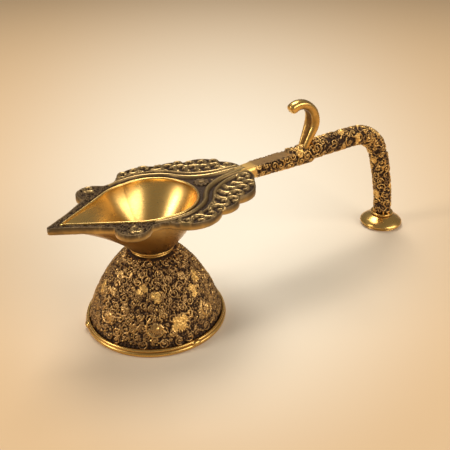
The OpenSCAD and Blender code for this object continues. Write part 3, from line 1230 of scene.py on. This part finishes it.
@dataclass
class Border:
    """The cast leaf border that holds the bowl."""

    axis: float
    low: float
    high: float
    tip: float
    bowl: Bowl
    turns: int = 960
    rows: int = 88
    # Centre and radius of each lobe, then corners between them, back from the bowl's axis.
    lobes: tuple[tuple[float, float, float], ...] = (
        (-21.3, 23, 8.8), (11, 21.6, 17.4), (29, 22.8, 10.8), (42.5, 14.2, 13.8), (50.5, 5.2, 12.2),
    )
    edge: tuple[tuple[float, float], ...] = (
        (-42, 8.8), (-32, 16.2), (-18, 27.5), (-8, 27.8), (0, 31.5), (38, 25), (52, 10),
    )
    rosette: tuple[float, float] = (33.2, 0.0)
    petals: int = 9
    gap: float = 0.08
    ground: float = 0.5
    rear_rise: float = 0.9
    step: float = 0.13
    corner: tuple[float, float] = (-61.0, -46.0)
    span: tuple[float, float] = (132.0, 92.0)
    # Centre, radius, turn of the outer end in degrees, and hand.
    scrolls: tuple[tuple[float, float, float, float, Hand], ...] = (
        (56.2, 9.6, 3.5, 200, Hand.LEFT), (50.6, 11.8, 3.7, 150, Hand.RIGHT),
        (44.6, 13.8, 3.9, 170, Hand.RIGHT), (52.6, 18.4, 3.4, 240, Hand.LEFT),
        (46.4, 21.4, 3.9, 210, Hand.LEFT), (39.4, 17.0, 4.0, 170, Hand.RIGHT),
        (40.2, 24.6, 3.6, 240, Hand.LEFT), (34.4, 21.6, 4.0, 180, Hand.RIGHT),
        (34.6, 28.8, 3.2, 250, Hand.LEFT), (28.8, 27.0, 4.0, 190, Hand.RIGHT),
        (23.2, 31.6, 3.7, 230, Hand.LEFT), (16.4, 33.6, 3.9, 200, Hand.RIGHT),
        (9.4, 35.0, 3.2, 250, Hand.LEFT), (3.0, 33.4, 3.2, 210, Hand.RIGHT),
        (-20.8, 27.6, 3.0, 240, Hand.RIGHT),
    )

    def outline(self, turn: np.ndarray) -> np.ndarray:
        """Works out how far the border reaches.

        Args:
            turn: Turns from the rear, in radians.

        Returns:
            The reach at each turn.
        """
        reach = np.linspace(10, 72, 1241)
        x = np.cos(turn)[:, None] * reach
        y = np.abs(np.sin(turn)[:, None] * reach)
        inside = np.zeros(x.shape, bool)
        for cx, cy, r in self.lobes:
            inside |= (x - cx) ** 2 + (y - cy) ** 2 < r * r
        corners = [(-self.tip, 0.0), *self.edge]
        for (ax, ay), (bx, by) in zip(corners, corners[1:]):
            inside |= (x >= ax) & (x < bx) & (y <= ay + (by - ay) * (x - ax) / (bx - ax))
        found = np.where(inside, reach, 0).max(1)
        soft = found.copy()
        for shift in (-2, -1, 1, 2):
            soft += np.roll(found, shift)
        return soft / 5

    def relief(self) -> Relief:
        """Lays the border's ornament on one side and mirrors it.

        Returns:
            The finished sheet.
        """
        long, wide = self.span
        girth = np.ones(int(wide / self.step))
        sheet = Relief(long, girth, self.step, seed=23, origin=self.corner, wraps=False)
        self.fine_work(sheet)
        self.ribs(sheet)
        self.leaf_scrolls(sheet)
        middle = int(round(-self.corner[1] / self.step))
        half = min(middle, len(sheet.girth) - middle)
        for layer in (sheet.height, sheet.rub):
            layer[middle - half:middle] = layer[middle:middle + half][::-1]
        return sheet

    def fine_work(self, sheet: Relief) -> None:
        """Covers the narrow front with small curls and grains, and the rear with a low ground."""
        for u, v in sheet.scatter(9000, 1.35, 0, 44):
            turn = sheet.rng.uniform(0, TAU)
            if u > 0:
                sheet.press(u, v, 0.5, ball(0.5, 0.35))
            elif sheet.rng.random() < 0.5:
                sheet.scroll(u, v, 1.2, 0.32, 1.0, turn, Hand.LEFT, 0.9, 0.2)
            else:
                sheet.press(u, v, 0.6, ball(0.6, 1.0), 0.4)

    def ribs(self, sheet: Relief) -> None:
        """Lays the smooth ribs round the bowl and along the outer edge.

        Args:
            sheet: The sheet that they are laid on.
        """
        turn = np.linspace(0.02, math.pi, 260)
        rim = self.outline(turn)
        outer = np.stack([(rim - 0.6) * np.cos(turn), (rim - 0.6) * np.sin(turn)], -1)
        sheet.wire(0, 0, outer, 0.7, 1.1, rub=0.3)
        main = [
            (61, 1.2), (52, 2.0), (44, 3.2), (37, 5.6), (31.5, 8.8), (27.2, 13.2), (23.4, 18.6),
            (17.4, 23.4), (8, 27.2), (-2.4, 27.4), (-10, 25.6),
        ]
        second = [
            (60, 4.8), (52, 5.8), (45, 7.2), (38.8, 9.8), (33.8, 13.0), (30.2, 17.0), (26, 22.2),
            (19.6, 27.0),
        ]
        third = [(20, 27.4), (12, 30.4), (3, 31.2), (-5, 29.2)]
        sheet.wire(0, 0, smooth(main, 100), 1.9, 2.3, 0.45, rub=0.2)
        sheet.wire(0, 0, smooth(second, 70), 1.6, 2.0, 0.45, rub=0.15)
        sheet.wire(0, 0, smooth(third, 40), 0.9, 1.6, 0.5, rub=0.15)

    def leaf_scrolls(self, sheet: Relief) -> None:
        """Lays the bold scrolls of the lobes and the two rings of beads round the rosette."""
        for x, y, size, turn, hand in self.scrolls:
            share = np.linspace(0, 1, 15)
            angle = math.radians(turn) + hand.value * TAU * (0.85 * share - 0.08)
            reach = size * (1.25 - 0.95 * share)
            path = np.stack([reach * np.cos(angle), reach * np.sin(angle)], -1)
            sheet.wire(x, y, path, 1.55, 2.1, 0.4, 0.15)
        for ring, size in ((3.6, 1.0), (2.1, 0.85)):
            for a in circle(self.petals) + ring:
                spot = (self.rosette[0] + ring * math.cos(a), self.rosette[1] + ring * math.sin(a))
                sheet.press(*spot, size, ball(size, 1.2), 0.1)

    def build(self, patina: Coat) -> None:
        """Builds the border as a ring with relief on top and plain walls.

        Args:
            patina: The finish of the cast relief.
        """
        sheet = self.relief()
        angle = circle(self.turns)
        inner, outer = self.bowl.outline(angle) + self.gap, self.outline(angle)
        share = np.linspace(0, 1, self.rows)[:, None]
        reach = inner + (outer - inner) * share
        x, y = reach * np.cos(angle), reach * np.sin(angle)
        height, rub = sheet.read(x, y)
        wide = np.clip((outer - inner) / 3, 0.4, 1)
        fade = np.minimum(1, share * (outer - inner) / 0.4)
        rise = self.rear_rise * np.clip((x - 24) / 30, 0, 1)
        top = self.high - self.ground + (height * wide * fade) + rise
        foot = self.low + 0.4
        walls = [(outer + 0.15, foot + 1.0), (outer, foot), (outer - 0.5, self.low), (inner, self.low)]
        full_r = np.vstack([reach, *[r[None] for r, _ in walls]])
        full_z = np.vstack([top, *[np.full((1, self.turns), z) for _, z in walls]])
        plain = np.ones((len(walls), self.turns))
        marks = {"relief": np.vstack([height / 1.9, plain * 0.85]), "rub": np.vstack([rub, plain * 0.5])}
        made = Piece("leaf_border", rings(self.axis, full_r, full_z, angle), close_rows=True, marks=marks)
        patina.dress(made.build(), Body.LAMP_TOP, "border_plate")


@dataclass
class Bar:
    """A bar that follows a line in the lamp's mirror plane and carries relief."""

    name: str
    path: np.ndarray
    radii: np.ndarray
    turns: int
    seed: int
    flat: float | None = None
    bare_until: float = 0.0
    lift: float = 1.35
    curl: float = 2.9
    thick: float = 0.5
    step: float = 0.12
    ground: float = 0.55
    flat_run: float = 28.0

    def stations(self) -> np.ndarray:
        """Returns the distance of each point of the path from its start."""
        steps = np.linalg.norm(np.diff(self.path, axis=0), axis=1)
        return np.concatenate([[0], np.cumsum(steps)])

    def relief(self, along: np.ndarray) -> Relief:
        """Lays the bar's ornament; u runs round the bar from its top and v along it.

        Args:
            along: Distance of each point of the path from its start.

        Returns:
            The finished sheet.
        """
        rows = np.arange(0, along[-1] + self.step, self.step)
        sheet = Relief(TAU, np.interp(rows, along, self.radii), self.step, self.seed)
        low, high = self.bare_until, along[-1] - 0.5
        sheet.gravel(low, high, 0.6, self.lift * 0.36)
        for u, v in sheet.scatter(60, 13.0, low + 4, high - 3):
            for x, y in sheet.rng.uniform(-1.6, 1.6, (4, 2)):
                sheet.press(u + x / 5.5, v + y, 1.9, mound(1.9, self.lift * 0.6), 0.8)
        for u, v in sheet.scatter(2000, self.curl * 1.5, low, high):
            size, turn = self.curl * sheet.rng.uniform(0.7, 1.1), sheet.rng.uniform(0, TAU)
            hand, winds = sheet.any_hand(), sheet.rng.uniform(0.8, 1.3)
            sheet.scroll(u, v, size, self.thick, self.lift, turn, hand, winds, 0.55)
        for u, v in sheet.scatter(4000, self.curl * 0.8, low, high):
            long, turn = self.curl * sheet.rng.uniform(0.8, 1.6), sheet.rng.uniform(0, TAU)
            sheet.tendril(u, v, long, self.thick * 0.9, self.lift * 0.85, turn)
        for u, v in sheet.scatter(4000, 1.7, low, high):
            if sheet.rng.random() < 0.4:
                sheet.press(u, v, 0.7, ball(0.65, self.lift * 0.9), sheet.rng.uniform(0.2, 0.9))
        return sheet

    def build(self) -> bpy.types.Object:
        """Sweeps the bar with its relief and closes its ends.

        Returns:
            The object.
        """
        along = self.stations()
        sheet = self.relief(along)
        tangent = np.gradient(self.path, axis=0)
        tangent /= np.linalg.norm(tangent, axis=1)[:, None]
        u, v = np.meshgrid(circle(self.turns), along)
        height, rub = sheet.read(u, v)
        start = np.clip((v - self.bare_until) / (3 if self.bare_until else 0.4), 0, 1)
        out = self.radii[:, None] + (height - self.ground) * start
        across, up = np.sin(u) * out, np.cos(u) * out
        if self.flat is not None:
            room = self.flat - self.path[:, 1:]
            held = np.where(v < self.bare_until + self.flat_run, np.minimum(up, room), up)
            worn = up > held
            height, rub = np.where(worn, 0.8 * self.lift, height), np.where(worn, 0.3, rub)
            up = held
        x = self.path[:, :1] - tangent[:, 1:] * up
        z = self.path[:, 1:] + tangent[:, :1] * up
        bare = 1 - start
        marks = {"relief": height / self.lift * start + bare * 0.8, "rub": rub * start + bare * 0.8}
        return Piece(self.name, np.stack([x, across, z], -1), caps=True, marks=marks).build()


@dataclass
class Handle:
    """The arm, the thumb hook and the grip that bends down into the rear leg."""

    axis: float
    joint: float
    low: float
    grip_low: float
    foot_axis: float
    root_reach: float = 56.0
    flat: float = 75.9
    arm_height: float = 72.6
    grip_height: float = 74.5
    grip_radius: float = 5.8
    bend_radius: float = 27.6
    bend_turn: float = 69.0
    leg_turn: float = 15.4
    leg_radius: float = 5.5
    leg_bend: float = 181.0
    bend_reach: float = 36.8
    tang: tuple[float, float, float, float] = (29.6, 58.0, 8.0, 2.96)
    hook_sides: tuple[float, float] = (0.62, 0.58)
    groove_end: float = 0.62
    groove_width: float = 0.42
    groove_depth: float = 0.85
    # Place back from the bowl's axis, height, thickness and width along the hook.
    hook: tuple[tuple[float, float, float, float], ...] = (
        (106.6, 75.6, 3.6, 6.0), (107.2, 78.0, 3.6, 6.4), (108.4, 81.0, 3.8, 6.9), (110.6, 85.5, 4.4, 8.2),
        (112.4, 90.0, 4.8, 9.2), (112.8, 94.5, 4.8, 9.0), (111.6, 98.8, 4.8, 8.0), (108.6, 102.2, 4.6, 7.2),
        (104.8, 104.1, 4.6, 6.6), (100.6, 104.4, 4.8, 6.0), (97.6, 103.4, 5.2, 5.6), (96.0, 102.3, 4.6, 5.0),
        (95.3, 101.8, 2.6, 3.0),
    )

    def arm(self, patina: Coat) -> None:
        """Builds the arm with its smooth flat and relief below it, and its tang under the border.

        Args:
            patina: The finish of the cast relief.
        """
        root = self.axis + self.root_reach
        x = np.linspace(root, self.joint, 300)
        grow = np.clip((x - root) / (self.joint - root), 0, 1)
        path = np.stack([x, self.arm_height - 0.9 * (1 - np.clip(grow * 4, 0, 1))], -1)
        made = Bar("relief_arm", path, 4.6 + 1.1 * grow, 150, 31, flat=self.flat, bare_until=11.0).build()
        self.add_tang(made)
        patina.dress(made, Body.LAMP_TOP, "handle_arm")

    def add_tang(self, arm: bpy.types.Object) -> None:
        """Adds the flat tang that runs forward under the border.

        Args:
            arm: The arm.
        """
        work = bmesh.new()
        work.from_mesh(arm.data)
        front, rear, wide, tall = self.tang
        centre = Vector((self.axis + (front + rear) / 2, 0.0, self.low + 1.5)) * MM
        scale = Matrix.Diagonal(((rear - front) * MM, wide * MM, tall * MM, 1.0))
        made = bmesh.ops.create_cube(work, size=1.0, matrix=Matrix.Translation(centre) @ scale)
        edges = {e for v in made["verts"] for e in v.link_edges}
        bmesh.ops.bevel(work, geom=list(edges), offset=0.4 * MM, segments=3, affect="EDGES")
        work.to_mesh(arm.data)
        work.free()

    def grip(self, patina: Coat) -> None:
        """Builds the grip, its bend and the rear leg as one bar.

        Args:
            patina: The finish of the cast relief.
        """
        bend_x = self.foot_axis - self.bend_reach
        centre = np.array([bend_x, self.grip_height - self.bend_radius])
        turn = np.radians(np.linspace(0, self.bend_turn, 150))
        bend = centre + self.bend_radius * np.stack([np.sin(turn), np.cos(turn)], -1)
        leg_centre = bend[-1] - self.leg_bend * np.array([math.sin(turn[-1]), math.cos(turn[-1])])
        fall = np.radians(np.linspace(self.bend_turn, self.bend_turn + self.leg_turn, 220))[1:]
        leg = leg_centre + self.leg_bend * np.stack([np.sin(fall), np.cos(fall)], -1)
        leg = leg[leg[:, 1] > self.grip_low - 0.2]
        bar_x = np.linspace(self.joint, bend_x, 150)[:-1]
        bar = np.stack([bar_x, self.grip_height + 0 * bar_x], -1)
        path = np.vstack([bar, bend, leg])
        radii = np.interp(np.arange(len(path)), [0, len(bar) + len(bend), len(path)],
                          [self.grip_radius, self.grip_radius - 0.1, self.leg_radius])
        radii[:3] = np.linspace(0.97, 1.0, 3) * radii[:3]
        made = Bar("relief_grip", path, radii, 170, 47, curl=3.2).build()
        patina.dress(made, Body.LAMP_TOP, "handle_grip")

    def thumb_hook(self, filed: Coat) -> None:
        """Builds the hook as a blade with bevelled edges, a punched groove inside its curve and painted
        shade under its curl.

        Args:
            filed: The finish of the hook.
        """
        points = smooth(self.hook, 130)
        around = circle(72)
        heading = np.gradient(points[:, :2], axis=0)
        heading /= np.linalg.norm(heading, axis=1)[:, None]
        rng = np.random.default_rng(5)
        share = np.linspace(0, 1, len(points))[:, None]
        groove = np.clip(share / 0.05, 0, 1) * np.clip((self.groove_end - share) / 0.12, 0, 1)
        across = np.sin(around)[None]
        inner = np.clip(np.cos(around), 0, 1)[None]
        dip = groove * inner * np.exp(-((across / self.groove_width) ** 4))
        pits = rng.random(dip.shape)
        pits = (pits + np.roll(pits, 1, 0) + np.roll(pits, 1, 1)) / 3
        deep, broad = self.hook_sides
        thick = points[:, 2:3] * deep * np.sign(np.cos(around)) * np.abs(np.cos(around)) ** 0.75
        thick = thick - dip * (self.groove_depth + 0.5 * (pits - 0.5))
        wide = points[:, 3:4] * broad * across
        x = self.axis + points[:, :1] - thick * heading[:, 1:]
        z = points[:, 1:2] + thick * heading[:, :1]
        # Painted shadow of the curl: the inner face is darkened where the hook bends over. The groove mark
        # carries it along with the tarnish of the punched groove.
        painted_curl_shadow = np.exp(-(((share - self.groove_end) / 0.16) ** 2)) * inner * 0.75
        marks = {"groove": dip * (0.8 + 1.2 * pits) + painted_curl_shadow}
        made = Piece("thumb_hook_blade", np.stack([x, wide + 0 * x, z], -1), caps=True, marks=marks).build()
        filed.dress(made, Body.LAMP_TOP, "thumb_hook")

    def build(self, patina: Coat, filed: Coat) -> None:
        """Builds the three pieces of the handle.

        Args:
            patina: The finish of the cast relief.
            filed: The finish of the hook.
        """
        self.arm(patina)
        self.thumb_hook(filed)
        self.grip(patina)


@dataclass
class Rosette:
    """The granulated head of the rivet behind the bowl."""

    centre: float
    low: float
    seat: float
    high: float

    def build(self, patina: Coat) -> None:
        """Builds the rivet: foot, pin and a petalled head with beads.

        Args:
            patina: The finish of the cast relief.
        """
        profile = [
            (0.01, self.low), (2.5, self.low), (2.6, self.low + 0.4), (2.6, self.low + 0.8),
            (1.58, self.low + 0.8), (1.58, self.seat), (3.1, self.seat),
            *arc((3.6, self.seat + 0.45), 0.45, -60, 100, 8),
            (2.9, self.seat + 0.75), (2.1, self.seat + 0.7), (1.9, self.high - 0.35),
            *arc((1.3, self.high - 0.5), 0.5, 20, 90, 6), (0.01, self.high),
        ]
        angle = circle(144)
        piece = lathe("rosette_head", self.centre, profile, len(angle))
        wave = 1 + 0.09 * np.cos(8 * angle)
        off = piece.points[..., 0] - self.centre
        reach = np.hypot(off, piece.points[..., 1])
        stretch = np.where(reach > 2.8, wave, 1)
        piece.points[..., 0] = self.centre + off * stretch
        piece.points[..., 1] *= stretch
        tall = (piece.points[..., 2] - self.seat) / (self.high - self.seat)
        piece.marks = {"relief": np.clip(tall * 0.6 + 0.1, 0, 1), "rub": 0 * tall}
        patina.dress(piece.build(), Body.LAMP_TOP, "rosette_rivet")


@dataclass
class Foot:
    """The turned foot of the leg and the loose ring above it."""

    axis: float
    radius: float
    cone_top: float
    ring_low: float
    ring_high: float
    ring_radius: float
    bore: float = 2.55

    def build(self, turned: Coat) -> None:
        """Builds the foot and its ring.

        Args:
            turned: The finish of what is turned.
        """
        half = (self.ring_high - self.ring_low) / 2
        edge = self.ring_radius - half
        ring = [(self.bore, self.ring_low), *arc((edge, self.ring_low + half), half, -90, 90, 15),
                (self.bore, self.ring_high)]
        made = lathe("foot_ring_turned", self.axis, ring, 160, [0.5, *[0.0] * 15, 0.5]).build()
        turned.dress(made, Body.RING, "foot_ring")
        wide, top = self.radius, self.cone_top
        slope = smooth([(wide - 0.5, 3.5), (12.4, 4.9), (10.2, 6.15), (8.3, 7.1), (7.3, 7.7)], 26)
        profile = [
            (9.0, 0.0), (wide - 2.3, 0.0), *arc((wide - 1.7, 0.6), 0.6, -90, 90, 9), (wide - 2.9, 1.35),
            *arc((wide - 0.85, 2.5), 0.85, -100, 60, 12), *[tuple(p) for p in slope],
            (6.85, 7.95), *arc((6.55, top - 0.3), 0.3, 0, 90, 4),
            (self.bore, top), (self.bore, 2.0), (9.0, 2.0),
        ]
        depth = [1.0 if 1.1 < z < 1.75 or 7.6 < z < 8.1 else 0.0 for _, z in profile]
        made = lathe("turned_foot", self.axis, profile, 192, depth).build()
        turned.dress(made, Body.FOOT, "foot_cone")


# --- Studio ---


@dataclass
class Studio:
    """The paper floor, the soft lights and the camera."""

    target: tuple[float, float, float]
    eye: tuple[float, float, float] = (-0.21392, -0.27258, 0.22548)
    yaw: float = 55.008
    pitch: float = 28.866
    roll: float = -0.465
    lens: float = 52.0
    floor_half: float = 3.0
    # Centre of the floor's painted pool of light.
    pool: tuple[float, float] = (0.02, 0.063)
    warm: Colour = (1.0, 0.95, 0.87)
    neutral: Colour = (1.0, 0.97, 0.92)
    air: Colour = (1.0, 0.95, 0.88)

    def camera(self) -> None:
        """Places the camera."""
        yaw, pitch, roll = (math.radians(a) for a in (self.yaw, self.pitch, self.roll))
        ahead = Vector((math.cos(yaw) * math.cos(pitch), math.sin(yaw) * math.cos(pitch), -math.sin(pitch)))
        side = Vector((math.sin(yaw), -math.cos(yaw), 0.0))
        up = side.cross(ahead)
        right = side * math.cos(roll) + up * math.sin(roll)
        top = up * math.cos(roll) - side * math.sin(roll)
        data = bpy.data.cameras.new("camera")
        data.lens = self.lens
        data.sensor_width = 36.0
        data.clip_start = 0.01
        made = bpy.data.objects.new("camera", data)
        matrix = Matrix((right, top, -ahead)).transposed().to_4x4()
        matrix.translation = Vector(self.eye)
        made.matrix_world = matrix
        bpy.context.scene.collection.objects.link(made)
        bpy.context.scene.camera = made

    def light(self, name: str, place: Triple, size: tuple[float, float], power: float, tint: Colour) -> None:
        """Places one soft light that faces the lamp.

        Args:
            name: The light's name.
            place: Where it hangs, in metres.
            size: Its width and height, in metres.
            power: Its power, in watts.
            tint: Its colour.
        """
        data = bpy.data.lights.new(name, "AREA")
        data.shape = "RECTANGLE"
        data.size, data.size_y = size
        data.energy = power
        data.color = tint
        made = bpy.data.objects.new(name, data)
        made.location = place
        aim = Vector(self.target) - Vector(place)
        made.rotation_mode = "QUATERNION"
        made.rotation_quaternion = aim.to_track_quat("-Z", "Y")
        bpy.context.scene.collection.objects.link(made)

    def floor(self, paper: bpy.types.Material) -> None:
        """Lays the floor.

        Args:
            paper: The floor's material.
        """
        half = self.floor_half
        mesh = bpy.data.meshes.new("paper_floor")
        corners = [(-half, -half, 0), (half, -half, 0), (half, half, 0), (-half, half, 0)]
        mesh.from_pydata(corners, [], [(0, 1, 2, 3)])
        mesh.materials.append(paper)
        made = bpy.data.objects.new("paper_floor", mesh)
        bpy.context.scene.collection.objects.link(made)
        made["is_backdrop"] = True

    def world(self, tint: Colour, strength: float) -> None:
        """Sets the even light of the room.

        Args:
            tint: The light's colour.
            strength: The light's strength.
        """
        made = bpy.data.worlds.new("room")
        made.use_nodes = True
        ground = made.node_tree.nodes["Background"]
        ground.inputs["Color"].default_value = (*tint, 1.0)
        ground.inputs["Strength"].default_value = strength
        bpy.context.scene.world = made
        bpy.context.scene.view_settings.view_transform = "Standard"

    def build(self) -> None:
        """Sets up the whole studio."""
        self.camera()
        yaw = math.radians(self.yaw)
        ahead = (math.cos(yaw), math.sin(yaw))
        self.floor(FloorPaper("floor_paper", self.pool, ahead).make())
        self.light("left", (-0.84, 0.24, 0.50), (0.3, 0.45), 3.9, self.warm)
        self.light("right", (0.34, -0.72, 0.48), (0.8, 0.32), 3.9, self.warm)
        self.light("top", (0.20, 0.40, 1.05), (0.5, 0.5), 8.0, self.neutral)
        self.world(self.air, 0.24)


def build_lamp(frame: dict) -> None:
    """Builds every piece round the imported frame.

    Args:
        frame: What the frame loader returned.
    """
    dome, rim, collar, cup = Box("base_dome"), Box("base_rim"), Box("neck_collar"), Box("bowl")
    plate, arm, grip, cone = Box("border_plate"), Box("handle_arm"), Box("handle_grip"), Box("foot_cone")
    rivet, ring = Box("rosette_rivet"), Box("foot_ring")
    axis, foot_axis = dome.middle, cone.middle

    # Each relief patina paints a highlight on the crests with its height colour, over patina in the
    # recesses.
    dome_patina = Coat(ReliefPatina("dome_patina"), Slot.RELIEF)
    border_patina = Coat(ReliefPatina(
        "border_patina", recess=(0.05, 0.026, 0.012), middle=(0.2, 0.125, 0.05), height=(0.44, 0.29, 0.115),
        rubbed=(0.74, 0.46, 0.15), low=0.05, high=1.0,
    ), Slot.RELIEF)
    handle_patina = Coat(ReliefPatina("handle_patina"), Slot.RELIEF)
    satin = Coat(SatinBrass("satin_brass"), Slot.SATIN)
    stand_turned = Coat(TurnedBrass("stand_turned_brass", (axis * MM, 0.0)), Slot.TURNED)
    foot_turned = Coat(TurnedBrass("foot_turned_brass", (foot_axis * MM, 0.0)), Slot.TURNED)
    filed = Coat(FiledBrass("filed_brass"), Slot.HOOK)
    plain = Coat(PlainBrass("plain_brass"), Slot.ROUGH)

    Stand(axis, (rim.high[1] - rim.low[1]) / 2, rim.high[2], dome.high[2]).build(dome_patina, stand_turned)
    Neck(axis, collar.low[2], collar.high[2], collar.high[0] - axis).build(stand_turned)
    heel = cup.high[1]
    bowl = Bowl(axis, cup.low[2], cup.high[2], axis - cup.low[0], heel, cup.high[0] - axis - heel)
    bowl.build(satin)
    Border(axis, plate.low[2], plate.high[2], axis - plate.low[0], bowl).build(border_patina)
    Rosette(rivet.middle, rivet.low[2], plate.high[2], rivet.high[2]).build(border_patina)
    Handle(axis, grip.low[0], arm.low[2], grip.low[2], foot_axis).build(handle_patina, filed)
    Foot(foot_axis, cone.high[1], cone.high[2], ring.low[2], ring.high[2], ring.high[1]).build(foot_turned)
    for name in ("crown_nut", "crown_washer", "bowl_stud", "foot_stud", "tang_rivets"):
        plain.cover(frame["nodes"][name])


def main() -> None:
    """Builds the lamp and its studio."""
    logging.basicConfig(level=logging.INFO, format="%(name)s: %(message)s")
    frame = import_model()
    cad_low, cad_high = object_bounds()
    middle = (cad_low + cad_high) / 2
    Studio(tuple(middle)).build()
    build_lamp(frame)
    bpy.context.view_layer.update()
    LOG.info("sizes written")


if __name__ == "__main__":
    main()
